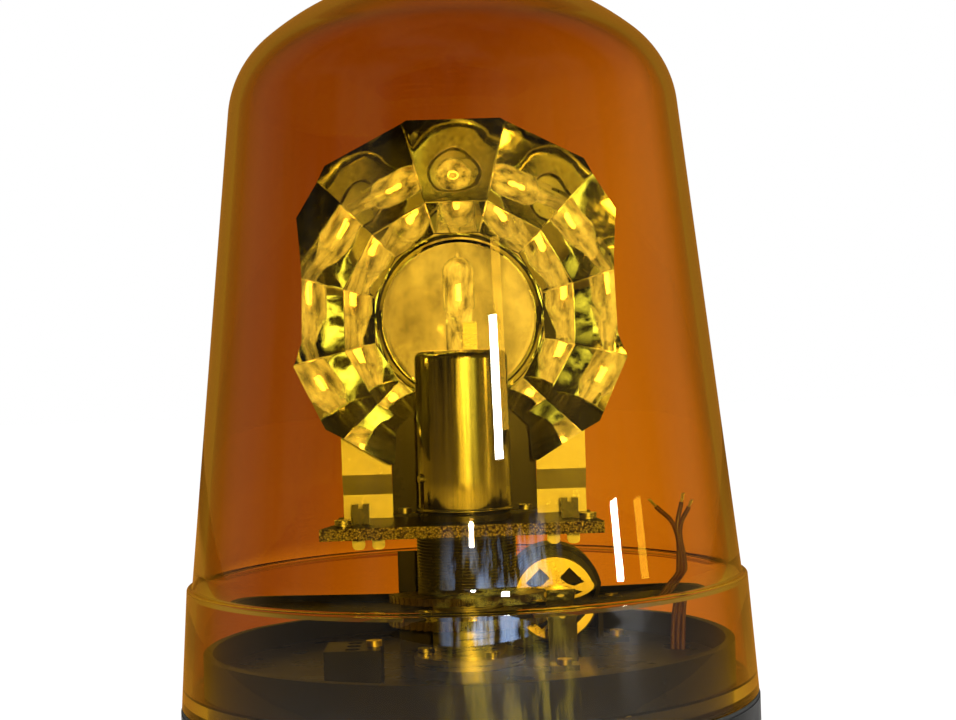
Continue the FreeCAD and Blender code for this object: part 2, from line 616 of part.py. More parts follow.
def reflector():
    """Faceted reflector: two rings of flat mirrors round a bowl, notched for the sleeve."""
    panels = []
    for index in range(12):
        panels.append(facet(size("mirror_inner") - 0.6, size("mirror_ring"), index))
        panels.append(facet(size("mirror_ring"), size("mirror_outer"), index))
    lift = FreeCAD.Vector(0, 0, size("mirror_height"))
    seat = size("leg_plane") - 2.5
    offset = size("mirror_boss_z - mirror_height")
    reach = mirror_depth(math.hypot(size("mirror_boss_x"), offset)) + 2.0
    bosses = [Part.makeCylinder(3.0, seat - reach, boss_point(side, reach) - lift, AXIS_Y)
              for side in (-1, 1)]
    threads = [Part.makeCylinder(size("small_thread"), 8, boss_point(side, seat - 5) - lift, AXIS_Y)
               for side in (-1, 1)]
    shell = mirror_bowl().multiFuse(panels).multiFuse(bosses)
    shell = shell.common(mirror_prism(MIRROR_RIM)).cut(mirror_prism(MIRROR_NOTCH)).cut(threads)
    return node("reflector", place(made(shell.removeSplitter(), "Mirror"), 0, 0, "mirror_height"))


def reflector_screws():
    """Two screws from behind through the legs into the reflector."""
    screws = []
    for side in (-1, 1):
        centre = boss_point(side, size("leg_plane - 2.5 + sheet"))
        head = Part.makeCylinder(2.6, 1.8, centre, AXIS_Y)
        shank = Part.makeCylinder(size("small_thread"), 5.5, centre, AXIS_Y * -1)
        slot = Part.makeBox(6, 1, 0.7, centre + FreeCAD.Vector(-3, 1.2, -0.35))
        screws.append(made(head.fuse(shank).cut(slot), "ReflectorScrew"))
    return node("reflector_screws", group(*screws))


def latch_posts():
    """Four square posts on the plate beside the legs."""
    posts = []
    for side in (-1, 1):
        for y in (-5.0, 16.0):
            stem = centred(4.8, 3.4, 5.6, f"({side}) * post_x", y, "plate_foot + plate_thick")
            notch = centred(1.3, 5, 1.6, f"({side}) * post_x", y, "plate_foot + plate_thick + 4.4")
            posts.append(cut(stem, notch))
    return node("latch_posts", group(*posts))


def plate_screws():
    """Screws through the rotor plate."""
    top = "plate_foot + plate_thick"
    screws = [screw(f"({side}) * plate_screw_x", "plate_screw_y", top, "small_thread", "plate_thick",
                    2.4, 1.7) for side in (-1, 1)]
    return node("plate_screws", group(*screws))


def shield_screws():
    """Two screws through the foot of the shield."""
    top = "plate_foot + plate_thick + sheet"
    screws = [screw(f"({side}) * shield_screw_x", "shield_screw_y", top, "small_thread",
                    "plate_thick + sheet", 1.9, 1.4) for side in (-1, 1)]
    return node("shield_screws", group(*screws))


def rear_shield():
    """Dark sheet that closes the notch behind the sleeve."""
    foot = "plate_foot + plate_thick"
    wall = centred("shield_half * 2", "sheet", "shield_height", 0, "shield_plane", foot)
    lug = centred("shield_half * 2", 4.4, "sheet", 0, "shield_plane - 1.7", foot)
    holes = [hole(f"({side}) * shield_screw_x", "shield_screw_y", foot, "sheet") for side in (-1, 1)]
    return node("rear_shield", cut(fuse(wall, lug), *holes))


def worm():
    """Single-start right-hand worm on the motor shaft, with clearance on both flanks."""
    lead = math.pi * 2 * size("gear_pitch") / size("gear_teeth")
    crest = size("worm_pitch_radius") + size("addendum")
    root = size("worm_root")
    half = size("tooth_half")
    buried = root - 0.4
    section = [(buried, -half - 0.25), (crest, 0.15 - half), (crest, half - 0.15), (buried, half + 0.25)]
    points = [FreeCAD.Vector(r, 0, z) for r, z in section + section[:1]]
    helix = Part.Wire(Part.makeHelix(lead, 6 * lead, root).Edges)
    thread = helix.makePipeShell([Part.makePolygon(points)], True, True)
    thread.translate(FreeCAD.Vector(0, 0, -3 * lead))
    length = size("worm_length")
    core = Part.makeCylinder(root, length + 4, FreeCAD.Vector(0, 0, -length / 2 - 2))
    bore = Part.makeCylinder(size("motor_shaft"), 40, FreeCAD.Vector(0, 0, -20))
    solid = made(core.fuse(thread).cut(bore), "Worm")
    return node("worm", place(solid, "worm_offset", 0, "gear_height", ALONG_Y))


def motor_shaft():
    """Steel shaft from the motor through the worm to the front bearing."""
    return node("motor_shaft", rod("motor_shaft", "motor_face + 12 + 24", "worm_offset", -12,
                                   "gear_height", ALONG_Y))


def front_bearing():
    """Post with a bore for the free end of the shaft."""
    post = centred(8, 3, "gear_height - deck_top + 4", "worm_offset", -11.6, "deck_top")
    foot = centred(8, 7, 1.5, "worm_offset", -16.5, "deck_top")
    bore = rod("motor_shaft + running_gap", 8, "worm_offset", -15, "gear_height", ALONG_Y)
    return node("front_bearing", cut(fuse(post, foot), bore, hole("worm_offset", -17, "deck_top", 1.5)))


def motor_end_plate():
    """Vented drive-end cover of the motor with a boss round the shaft."""
    disc = rod("motor_radius", 3, "worm_offset", "motor_face", "gear_height", ALONG_Y)
    boss = rod(3.4, 2.2, "worm_offset", "motor_face - 2.2", "gear_height", ALONG_Y)
    bore = rod("motor_shaft + running_gap", 12, "worm_offset", "motor_face - 4", "gear_height", ALONG_Y)
    vents = []
    for index in range(4):
        turn = FreeCAD.Rotation(AXIS_Y, 45 + 90 * index)
        corner = turn.multVec(FreeCAD.Vector(-3.1, 0, 5.2))
        vents.append(block(6.2, 4, 4.2, f"worm_offset + {corner.x:.6f}", "motor_face - 0.4",
                           f"gear_height + {corner.z:.6f}", turn))
    return node("motor_end_plate", cut(fuse(disc, boss), bore, *vents))


def motor_can():
    """Drawn steel case of the motor, hollow, with a rear bearing boss."""
    front = "motor_face + 3"
    case = rod("motor_radius", "motor_length - 3", "worm_offset", front, "gear_height", ALONG_Y)
    hollow = rod("motor_radius - 1", "motor_length - 5", "worm_offset", front, "gear_height", ALONG_Y)
    tail = rod(4, 2, "worm_offset", "motor_face + motor_length", "gear_height", ALONG_Y)
    return node("motor_can", fuse(cut(case, hollow), tail))


def motor_armature():
    """Wound rotor of the motor."""
    core = rod("motor_radius - 3", 16, "worm_offset", "motor_face + 6", "gear_height", ALONG_Y)
    bore = rod("motor_shaft", 20, "worm_offset", "motor_face + 4", "gear_height", ALONG_Y)
    slots = []
    for index in range(5):
        turn = FreeCAD.Rotation(AXIS_Y, 72 * index)
        corner = turn.multVec(FreeCAD.Vector(-0.8, 0, 5.0))
        slots.append(block(1.6, 20, 6, f"worm_offset + {corner.x:.6f}", "motor_face + 4",
                           f"gear_height + {corner.z:.6f}", turn))
    return node("motor_armature", cut(core, bore, *slots))


def motor_sleeve():
    """Rubber sleeve that isolates the motor from its clamp."""
    outer = rod("rubber_radius", 15, "worm_offset", "motor_face + 8", "gear_height", ALONG_Y)
    inner = rod("motor_radius", 30, "worm_offset", "motor_face", "gear_height", ALONG_Y)
    return node("motor_sleeve", cut(outer, inner))


def motor_clamp():
    """Saddle strap over the motor with a foot on each side."""
    wide = 11
    front = "motor_face + 10"
    outer = rod("clamp_radius", wide, "worm_offset", front, "gear_height", ALONG_Y)
    legs = block("clamp_radius * 2", wide, "gear_height - deck_top", "worm_offset - clamp_radius", front,
                 "deck_top")
    feet = block("clamp_radius * 2 + 16", wide, 1.4, "worm_offset - clamp_radius - 8", front, "deck_top")
    inner = rod("rubber_radius", 30, "worm_offset", "motor_face", "gear_height", ALONG_Y)
    gap = block("rubber_radius * 2", 30, "gear_height - deck_top + 1", "worm_offset - rubber_radius",
                "motor_face", "deck_top - 1")
    holes = [hole(x, y, "deck_top", 1.4) for x, y in FIXINGS[:2]]
    return node("motor_clamp", cut(fuse(outer, legs, feet), inner, gap, *holes))


def mechanism_screws():
    """Screws of the motor clamp, front bearing, terminal block and rear bracket."""
    screws = [screw(x, y, f"deck_top + {lift}", "small_thread", f"3 + {lift}", 2.1, 1.5)
              for (x, y), lift in zip(FIXINGS, FIXING_LIFTS)]
    return node("mechanism_screws", group(*screws))


def support_bracket():
    """Dark folded bracket behind the column that carries the suppressor."""
    wall = block(23, "sheet", 29.5, -21, "bracket_plane", "deck_top")
    foot = block(23, 11, "sheet", -21, "bracket_plane", "deck_top")
    return node("support_bracket", cut(fuse(wall, foot), hole(*FIXINGS[4], "deck_top", "sheet")))


def suppressor():
    """Round capacitor that quietens the motor."""
    height = "deck_top + 6.2"
    return node("suppressor", fuse(rod(5, 13, -19, "suppressor_y", height, ALONG_X),
                                   rod(4.2, 15, -20, "suppressor_y", height, ALONG_X)))


def terminal_block():
    """Three-way terminal block for the supply."""
    body = centred(15, 17, 10.5, "terminal_x", "terminal_y", "deck_top")
    cuts = [rod(2.0, 7, "terminal_x", way, "deck_top + 5") for way in terminal_ways()]
    cuts += [rod(1.5, 20, "terminal_x - 10", way, "deck_top + 4", ALONG_X) for way in terminal_ways()]
    return node("terminal_block", cut(body, hole(*FIXINGS[3], "deck_top", 11), *cuts))


def terminal_ways():
    """Y position of each way of the terminal block."""
    return [f"terminal_y + ({step}) * terminal_pitch" for step in (-1, 0, 1)]


def terminal_screws():
    """Clamping screws of the terminal block."""
    screws = [screw("terminal_x", way, "deck_top + 7.4", 1.2, 1.6, 1.9, 1.3) for way in terminal_ways()]
    return node("terminal_screws", group(*screws))


def wire(label, runs, radius):
    """Group of insulated wires, each through its own points."""
    return node(label, group(*[made(tube_along(points, radius), "Wire") for points in runs]))


def motor_leads():
    """Two wires from the back of the motor to the hole in the deck."""
    axis = size("worm_offset")
    tail = size("motor_face + motor_length") + 3.4
    high = size("gear_height")
    runs = [[(axis + side * 2.4, tail, high + side), (axis - 8 + side, tail + 5, high - 2),
             (axis - 22 + side, tail + 3, high - 9), (-11.6 + side * 1.4, 44, size("deck_top") + 3),
             (-12 + side * 1.4, 44, size("base_ledge") - 4)] for side in (-1, 1)]
    return wire("motor_leads", runs, 0.9)


def loose_leads():
    """Three spare supply leads that rise by the wall and splay apart at the top."""
    low = size("base_ledge") - 4
    tips = [(54.9, 13, 76.5), (66.0, 16, 78.0), (68.6, 14.0, 76.0)]
    runs = []
    for index, tip in enumerate(tips):
        shift = (index - 1) * 1.5
        runs.append([(62 + shift, 15, low), (63 + shift, 15.5, 42), (64.6 + shift * 0.7, 15, 56),
                     (63.6 + shift * 0.7, 14.8, 68), tip])
    return wire("loose_leads", runs, 0.7)


def supply_cable():
    """Round cable that leaves the housing through the gland."""
    return node("supply_cable", rod("cable_radius", 60, 0, 44, "gland_height", ALONG_Y))


def cable_gland():
    """Gland body screwed in the housing wall."""
    body = fuse(rod("gland_radius", 16, 0, "base_radius - 12.2", "gland_height", ALONG_Y),
                rod("gland_radius + 1.6", 2.0, 0, "base_radius + 0.3", "gland_height", ALONG_Y),
                rod("gland_thread", 12, 0, "base_radius + 1", "gland_height", ALONG_Y))
    passage = rod("cable_radius", 40, 0, "base_radius - 20", "gland_height", ALONG_Y)
    return node("cable_gland", cut(body, passage))


def gland_nut():
    """Hexagonal nut that squeezes the gland on the cable."""
    nut = padded(around(6, "nut_corner"), 0, "nut_length", name="Hexagon")
    place(nut, 0, "skirt_radius + 0.8", "gland_height", ALONG_Y)
    start = "skirt_radius"
    thread = rod("gland_thread", "base_radius + 13 - skirt_radius", 0, start, "gland_height", ALONG_Y)
    passage = rod("cable_radius", 20, 0, start, "gland_height", ALONG_Y)
    return node("gland_nut", cut(nut, thread, passage))


def breather_plug():
    """Vent plug in the floor of the housing."""
    out = "0 - breather_out"
    return node("breather_plug", fuse(rod("breather_radius", "base_floor", 0, out, "foot_thick"),
                                      rod(4.2, 1.6, 0, out, "foot_thick + base_floor")))


for build in (base_housing, foot_gasket, dome_gasket, dome, dome_screws, chassis_plate, chassis_screws,
              centre_pillar, pillar_screws, thrust_washer, retaining_ring, lamp_holder, lamp_contact,
              sleeve_pin, bulb_sleeve, bulb_cap, bulb_glass, bulb_filament, rotor_bush, rotor_hub,
              rotor_gear, rotor_plate, rotor_collar, reflector_legs, reflector, reflector_screws,
              latch_posts, plate_screws, rear_shield, shield_screws, worm, motor_shaft, front_bearing,
              motor_end_plate, motor_can, motor_armature, motor_sleeve, motor_clamp, mechanism_screws,
              support_bracket, suppressor, terminal_block, terminal_screws, motor_leads, loose_leads,
              supply_cable, cable_gland, gland_nut, breather_plug):
    build()
doc.recompute()

failed = [thing.Label for thing in doc.Objects if "Invalid" in thing.State or "Error" in thing.State]
failed += [thing.Label for thing in NODES if thing.Shape.isNull() or not thing.Shape.isValid()]
if failed:
    raise RuntimeError(f"objects that did not build: {failed}")

os.makedirs("parts", exist_ok=True)
for thing in NODES:
    print(thing.Label, len(thing.Shape.Solids), round(thing.Shape.Volume, 1))
    thing.Shape.exportStep(f"parts/{thing.Label}.step")
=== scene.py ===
"""Looks of the rotating warning beacon: amber dome, lamp, faceted mirror and mechanism."""
import json
import math

import bmesh
import bpy
from mathutils import Matrix, Vector


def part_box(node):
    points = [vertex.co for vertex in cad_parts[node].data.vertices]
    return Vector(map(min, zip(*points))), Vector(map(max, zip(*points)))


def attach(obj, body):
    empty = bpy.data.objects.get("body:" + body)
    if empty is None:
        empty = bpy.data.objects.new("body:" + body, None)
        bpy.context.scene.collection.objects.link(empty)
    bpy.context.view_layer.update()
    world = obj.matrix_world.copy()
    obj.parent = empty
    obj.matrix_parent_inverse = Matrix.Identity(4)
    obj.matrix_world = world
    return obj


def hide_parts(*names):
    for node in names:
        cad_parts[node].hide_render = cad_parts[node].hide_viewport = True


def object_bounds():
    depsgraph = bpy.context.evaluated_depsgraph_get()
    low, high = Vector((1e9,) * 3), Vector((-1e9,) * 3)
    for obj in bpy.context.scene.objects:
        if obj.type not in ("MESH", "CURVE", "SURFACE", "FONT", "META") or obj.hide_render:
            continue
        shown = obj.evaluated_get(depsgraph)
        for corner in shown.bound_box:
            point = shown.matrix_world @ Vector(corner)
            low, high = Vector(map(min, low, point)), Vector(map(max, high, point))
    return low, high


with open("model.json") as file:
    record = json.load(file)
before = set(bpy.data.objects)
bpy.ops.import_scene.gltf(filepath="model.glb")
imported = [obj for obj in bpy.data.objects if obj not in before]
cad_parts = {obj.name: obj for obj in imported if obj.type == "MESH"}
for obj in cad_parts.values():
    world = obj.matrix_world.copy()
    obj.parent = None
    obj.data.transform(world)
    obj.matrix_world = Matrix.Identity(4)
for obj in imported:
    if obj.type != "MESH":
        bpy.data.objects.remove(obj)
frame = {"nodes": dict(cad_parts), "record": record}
cad_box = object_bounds()
MM = 0.001

CAMERA_DISTANCE = 0.491
CAMERA_HEIGHT = 0.117

AMBER = {
    "body": (0.88, 0.63, 0.20),
    "deep": (0.84, 0.585, 0.16),
    # crown: painted shade, a darker tint for the top of the dome
    "crown": (0.82, 0.55, 0.18),
    # limb: painted shade, a darker tint where the dome is seen edge-on
    "limb": (0.48, 0.17, 0.02),
    "inside": (0.90, 0.94, 0.6),
    "sheen": (0.95, 0.42, 0.05),
}
WHITE = (1.0, 1.0, 1.0)
WALL_DARK_SIDE = (0.5, 0.34, 0.25)
WALL_PALE_SIDE = (1.0, 0.97, 0.9)
# Strength of the painted glow of the filament.
PAINTED_COIL_GLOW_STRENGTH = 30.0
# Strength of the painted glow on the bulb glass.
PAINTED_GLEAM_STRENGTH = 2.8


# ---------------------------------------------------------------- geometry helpers
def mesh_from(build, name):
    """Turn a bmesh into a mesh and free it."""
    mesh = bpy.data.meshes.new(name)
    build.to_mesh(mesh)
    build.free()
    return mesh


def new_object(name, data):
    """Link an object to the scene."""
    made = bpy.data.objects.new(name, data)
    bpy.context.scene.collection.objects.link(made)
    return made


def new_piece(name, mesh, material, body, replaced=()):
    """Smooth piece that rides on a body and may stand in for CAD nodes."""
    piece = new_object(name, mesh)
    mesh.materials.append(material)
    shade_smooth(mesh)
    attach(piece, body)
    if replaced:
        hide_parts(*replaced)
    return piece


def shade_smooth(mesh):
    """Shade every face of a mesh smoothly."""
    for face in mesh.polygons:
        face.use_smooth = True


def sharpen(piece, angle=35):
    """Keep edges steeper than an angle in degrees crisp on a smooth-shaded piece."""
    piece.data.set_sharp_from_angle(angle=math.radians(angle))
    return piece


def arc(centre, radius, start, end, steps):
    """Points on an arc in the (radius, height) plane, angles in radians."""
    return [(centre[0] + radius * math.cos(start + (end - start) * k / steps),
             centre[1] + radius * math.sin(start + (end - start) * k / steps)) for k in range(steps + 1)]


def line(start, end, steps):
    """Evenly spaced points on a straight line, without its start."""
    return [(start[0] + (end[0] - start[0]) * k / steps,
             start[1] + (end[1] - start[1]) * k / steps) for k in range(1, steps + 1)]


def revolve(outline, steps, place):
    """Closed solid of revolution from (radius, along) points; place(x, y, along) puts each vertex."""
    build = bmesh.new()
    columns = []
    for step in range(steps):
        turn = 2 * math.pi * step / steps
        column = []
        for index, (radius, along) in enumerate(outline):
            if radius == 0 and step:
                column.append(columns[0][index])
            else:
                spot = place(radius * math.cos(turn), radius * math.sin(turn), along)
                column.append(build.verts.new(spot))
        columns.append(column)
    for step in range(steps):
        here, there = columns[step], columns[(step + 1) % steps]
        for index in range(len(outline)):
            after = (index + 1) % len(outline)
            corners = []
            for vert in (here[index], there[index], there[after], here[after]):
                if vert not in corners:
                    corners.append(vert)
            if len(corners) > 2:
                build.faces.new(corners)
    bmesh.ops.recalc_face_normals(build, faces=build.faces)
    return build


def lathe(name, outline, material, body, replaced, steps):
    """Piece turned about Z from (radius, height) points in metres."""
    build = revolve(outline, steps, lambda x, y, along: (x, y, along))
    return new_piece(name, mesh_from(build, name), material, body, replaced)


def block(size, centre):
    """Box of a given size about a point."""
    build = bmesh.new()
    bmesh.ops.create_cube(build, size=1)
    bmesh.ops.scale(build, vec=size, verts=build.verts)
    bmesh.ops.translate(build, vec=centre, verts=build.verts)
    return build


def cord(points, radius):
    """Mesh of one round cord through points."""
    curve = bpy.data.curves.new("cord", "CURVE")
    curve.dimensions = "3D"
    curve.bevel_depth = radius
    curve.bevel_resolution = 4
    curve.use_fill_caps = True
    curve.resolution_u = 10
    spline = curve.splines.new("BEZIER")
    spline.bezier_points.add(len(points) - 1)
    for knot, point in zip(spline.bezier_points, points):
        knot.co = point
        knot.handle_left_type = knot.handle_right_type = "AUTO"
    holder = new_object("cord", curve)
    mesh = evaluated_mesh(holder)
    bpy.data.objects.remove(holder)
    bpy.data.curves.remove(curve)
    return mesh


def evaluated_mesh(piece):
    """Mesh of an object with its curve or modifiers worked out."""
    bpy.context.view_layer.update()
    return bpy.data.meshes.new_from_object(piece.evaluated_get(bpy.context.evaluated_depsgraph_get()))


def tube(name, runs, radius, material, body, replaced=()):
    """Round cords through several runs of points, as one mesh."""
    build = bmesh.new()
    for points in runs:
        solid = cord(points, radius)
        build.from_mesh(solid)
        bpy.data.meshes.remove(solid)
    bmesh.ops.remove_doubles(build, verts=build.verts, dist=1e-6)
    return new_piece(name, mesh_from(build, name), material, body, replaced)


def prism(outline, depth):
    """Solid outline in the XZ plane, extended along Y both ways."""
    build = bmesh.new()
    loops = [[build.verts.new((x, y, z)) for x, z in outline] for y in (-depth, depth)]
    build.faces.new(loops[0])
    build.faces.new(list(reversed(loops[1])))
    for index in range(len(outline)):
        after = (index + 1) % len(outline)
        build.faces.new([loops[0][after], loops[0][index], loops[1][index], loops[1][after]])
    bmesh.ops.recalc_face_normals(build, faces=build.faces)
    return new_object("prism", mesh_from(build, "prism"))


def cut_with(piece, cutter, operation):
    """Apply an exact boolean and remove the cutter."""
    change = piece.modifiers.new(operation, "BOOLEAN")
    change.operation = operation
    change.solver = "EXACT"
    change.use_self = True
    change.object = cutter
    mesh = evaluated_mesh(piece)
    piece.modifiers.clear()
    old = piece.data
    piece.data = mesh
    bpy.data.meshes.remove(old)
    bpy.data.objects.remove(cutter)


# ---------------------------------------------------------------- shader helper
class Shader:
    """Adds and links the nodes of one material, or of the world."""

    def __init__(self, name, world=False):
        self.owner = (bpy.data.worlds if world else bpy.data.materials).new(name)
        self.owner.use_nodes = True
        self.tree = self.owner.node_tree
        self.tree.nodes.clear()
        self.output = self.add("ShaderNodeOutputWorld" if world else "ShaderNodeOutputMaterial")
        self.place = self.add("ShaderNodeTexCoord").outputs["Generated" if world else "Object"]

    def add(self, kind, **settings):
        """New node with attributes set by name."""
        made = self.tree.nodes.new(kind)
        for key, value in settings.items():
            setattr(made, key, value)
        return made

    def link(self, source, target):
        """Join an output to an input."""
        self.tree.links.new(source, target)

    def set(self, socket, value):
        """Give a socket a link, a colour or a plain value."""
        if isinstance(value, bpy.types.NodeSocket):
            self.link(value, socket)
        elif isinstance(value, tuple):
            socket.default_value = (*value, 1)
        else:
            socket.default_value = value

    def node(self, kind, **inputs):
        """New node whose inputs are set by name, with underscores for spaces."""
        made = self.add(kind)
        for key, value in inputs.items():
            self.set(made.inputs[key.replace("_", " ")], value)
        return made.outputs[0]

    def noise(self, scale, detail=3, rough=0.5, stretch=(1, 1, 1)):
        """Noise texture, with scale in features per metre."""
        mapping = self.add("ShaderNodeMapping")
        mapping.inputs["Scale"].default_value = stretch
        self.link(self.place, mapping.inputs["Vector"])
        return self.node("ShaderNodeTexNoise", Scale=scale, Detail=detail, Roughness=rough,
                         Vector=mapping.outputs[0])

    def ramp(self, source, low, high, start=0.3, end=0.7):
        """Blend between two values or colours by a factor."""
        if isinstance(low, tuple):
            made = self.add("ShaderNodeValToRGB")
            for element, position, colour in zip(made.color_ramp.elements, (start, end), (low, high)):
                element.position = position
                element.color = (*colour, 1)
            self.link(source, made.inputs["Fac"])
            return made.outputs["Color"]
        made = self.add("ShaderNodeMapRange")
        for key, value in zip(("From Min", "From Max", "To Min", "To Max"), (start, end, low, high)):
            made.inputs[key].default_value = value
        self.link(source, made.inputs["Value"])
        return made.outputs["Result"]

    def step(self, source, start, end):
        """Factor that rises from 0 to 1 between two values, or falls when they are swapped."""
        if start > end:
            return self.ramp(source, 1.0, 0.0, end, start)
        return self.ramp(source, 0.0, 1.0, start, end)

    def combine(self, operation, first, second=None, clamped=False):
        """Arithmetic on one or two sockets."""
        made = self.add("ShaderNodeMath", operation=operation)
        made.use_clamp = clamped
        self.link(first, made.inputs[0])
        if second is not None:
            self.link(second, made.inputs[1])
        return made.outputs[0]

    def times(self, first, second):
        """Product of two sockets."""
        return self.combine("MULTIPLY", first, second)

    def dot(self, vector, axis):
        """How far a vector points along an axis."""
        made = self.add("ShaderNodeVectorMath", operation="DOT_PRODUCT")
        self.link(vector, made.inputs[0])
        made.inputs[1].default_value = axis
        return made.outputs["Value"]

    def part(self, vector, axis):
        """One component of a vector."""
        made = self.add("ShaderNodeSeparateXYZ")
        self.link(vector, made.inputs[0])
        return made.outputs[axis]

    def ray(self, *kinds):
        """1 for rays of any of the kinds, such as Camera or Shadow."""
        outputs = self.add("ShaderNodeLightPath").outputs
        found = outputs[f"Is {kinds[0]} Ray"]
        for kind in kinds[1:]:
            found = self.combine("MAXIMUM", found, outputs[f"Is {kind} Ray"])
        return found

    def facing(self):
        """0 where a face looks at the viewer, 1 at its limb."""
        made = self.add("ShaderNodeLayerWeight")
        made.inputs["Blend"].default_value = 0.5
        return made.outputs["Facing"]

    def blend(self, factor, first, second):
        """Mix two colours."""
        made = self.add("ShaderNodeMix", data_type="RGBA")
        self.link(factor, made.inputs[0])
        self.set(made.inputs[6], first)
        self.set(made.inputs[7], second)
        return made.outputs[2]

    def bump(self, source, strength, distance):
        """Normal tilted by a height field."""
        return self.node("ShaderNodeBump", Strength=strength, Distance=distance, Height=source)

    def principled(self, **inputs):
        """General surface."""
        return self.node("ShaderNodeBsdfPrincipled", **inputs)

    def mix(self, factor, first, second):
        """Mix two surfaces."""
        made = self.add("ShaderNodeMixShader")
        self.link(factor, made.inputs[0])
        self.link(first, made.inputs[1])
        self.link(second, made.inputs[2])
        return made.outputs[0]

    def done(self, surface):
        """Connect the finished surface."""
        self.link(surface, self.output.inputs["Surface"])
        return self.owner


# ---------------------------------------------------------------- materials
def surface(name, dark, light, metal, rough, grain, bump, coat=0.0, shine=0.5):
    """General finish: colour and roughness vary with noise, with scuffs and a fine bump."""
    shade = Shader(name)
    broad = shade.noise(60, 5, 0.6)
    fine = shade.noise(grain, 4, 0.6)
    scuffs = shade.step(shade.noise(grain * 0.2, 6, 0.75), 0.62, 0.72)
    worn = tuple(min(1.0, channel * 1.7 + 0.004) for channel in light)
    return shade.done(shade.principled(
        Base_Color=shade.blend(scuffs, shade.ramp(broad, dark, light), worn), Metallic=metal,
        Roughness=shade.ramp(broad, rough * 0.75, rough * 1.25), Coat_Weight=coat,
        Specular_IOR_Level=shine, Normal=shade.bump(fine, 0.35, bump)))


def brushed(name, dark, light, rough, stretch):
    """Metal with drawn lines along the axes where stretch is small."""
    shade = Shader(name)
    lines = shade.noise(900, 4, 0.7, stretch)
    tone = shade.times(lines, shade.ramp(shade.noise(45, 4, 0.6), 0.8, 1.2))
    return shade.done(shade.principled(
        Base_Color=shade.ramp(tone, dark, light), Metallic=1.0,
        Roughness=shade.ramp(lines, rough * 0.7, rough * 1.35),
        Normal=shade.bump(lines, 0.25, 0.00004)))


def amber_plastic():
    """Tinted clear plastic: true refraction for the eye, plain tinted light for everything inside, with
    painted shade that darkens the tint at the crown and at the limbs.
    """
    shade = Shader("amber_plastic")
    facing = shade.facing()
    body = shade.ramp(shade.noise(9, 2, 0.5, (1, 1, 0.35)), AMBER["deep"], AMBER["body"])
    # Painted shade: the tint darkens towards the crown of the dome.
    crown = shade.step(shade.part(shade.place, "Z"), 0.165, 0.232)
    wall = shade.blend(crown, body, AMBER["crown"])
    # Painted shade: the tint darkens at the limbs, where the dome is seen edge-on.
    tint_with_painted_shade = shade.blend(shade.step(facing, 0.58, 0.95), wall, AMBER["limb"])
    sheen = shade.blend(shade.step(facing, 0.2, 0.6), WHITE, AMBER["sheen"])
    inner_face = shade.add("ShaderNodeNewGeometry").outputs["Backfacing"]
    rough = shade.ramp(shade.noise(260, 6, 0.7), 0.0, 0.035, 0.5, 0.75)
    waves = shade.bump(shade.noise(14, 2, 0.5), 0.12, 0.0006)
    through = shade.node("ShaderNodeBsdfRefraction", Color=tint_with_painted_shade, IOR=1.49, Roughness=rough, Normal=waves)
    gloss = shade.node("ShaderNodeBsdfGlossy", Color=shade.blend(inner_face, sheen, tint_with_painted_shade),
                       Roughness=rough, Normal=waves)
    glass = shade.mix(shade.node("ShaderNodeFresnel", IOR=1.49, Normal=waves), through, gloss)
    clear = shade.node("ShaderNodeBsdfTransparent", Color=AMBER["inside"])
    return shade.done(shade.mix(shade.ray("Camera", "Transmission"), clear, glass))


def quartz_glass():
    """Clear quartz with a faint haze, and a painted glow that stands in for the light the mirror gathers on
    it.
    """
    shade = Shader("quartz_glass")
    glass = shade.node("ShaderNodeBsdfGlass", IOR=1.46, Roughness=shade.ramp(shade.noise(900), 0.0, 0.06),
                       Color=shade.ramp(shade.noise(300), (0.93, 0.93, 0.92), WHITE))
    # Painted glow: emission in streaks on the glass, strongest where the glass faces the viewer.
    streaks = shade.noise(330, 3, 0.6, (1, 1, 0.4))
    painted_gleam = shade.node("ShaderNodeEmission", Strength=PAINTED_GLEAM_STRENGTH,
                       Color=shade.ramp(streaks, (0.03, 0.03, 0.02), (1.0, 1.12, 0.9), 0.38, 0.66))
    lit = shade.mix(shade.ramp(shade.facing(), 0.36, 0.0, 0.2, 0.75), glass, painted_gleam)
    clear = shade.node("ShaderNodeBsdfTransparent")
    return shade.done(shade.mix(shade.ray("Shadow", "Diffuse"), lit, clear))


def mirror_coat():
    """Vacuum-metallised plastic, bright with slight waviness and a few dull spots."""
    shade = Shader("mirror_coat")
    spots = shade.noise(420, 5, 0.65)
    return shade.done(shade.principled(
        Base_Color=shade.ramp(spots, (0.84, 0.84, 0.78), (0.95, 0.95, 0.92)), Metallic=1.0,
        Roughness=shade.ramp(spots, 0.025, 0.1, 0.45, 0.8),
        Normal=shade.bump(shade.noise(55, 2, 0.5), 0.25, 0.0004)))


def painted_glow_coil():
    """Tungsten wire with a painted glow that puts bright specks into the mirror."""
    shade = Shader("painted_glow_coil")
    # Painted glow: the coil emits light although the lamp is not lit.
    coil_glow_colour = shade.ramp(shade.noise(1500), (1, 0.72, 0.3), (1, 0.86, 0.5))
    return shade.done(shade.node("ShaderNodeEmission", Color=coil_glow_colour, Strength=PAINTED_COIL_GLOW_STRENGTH))


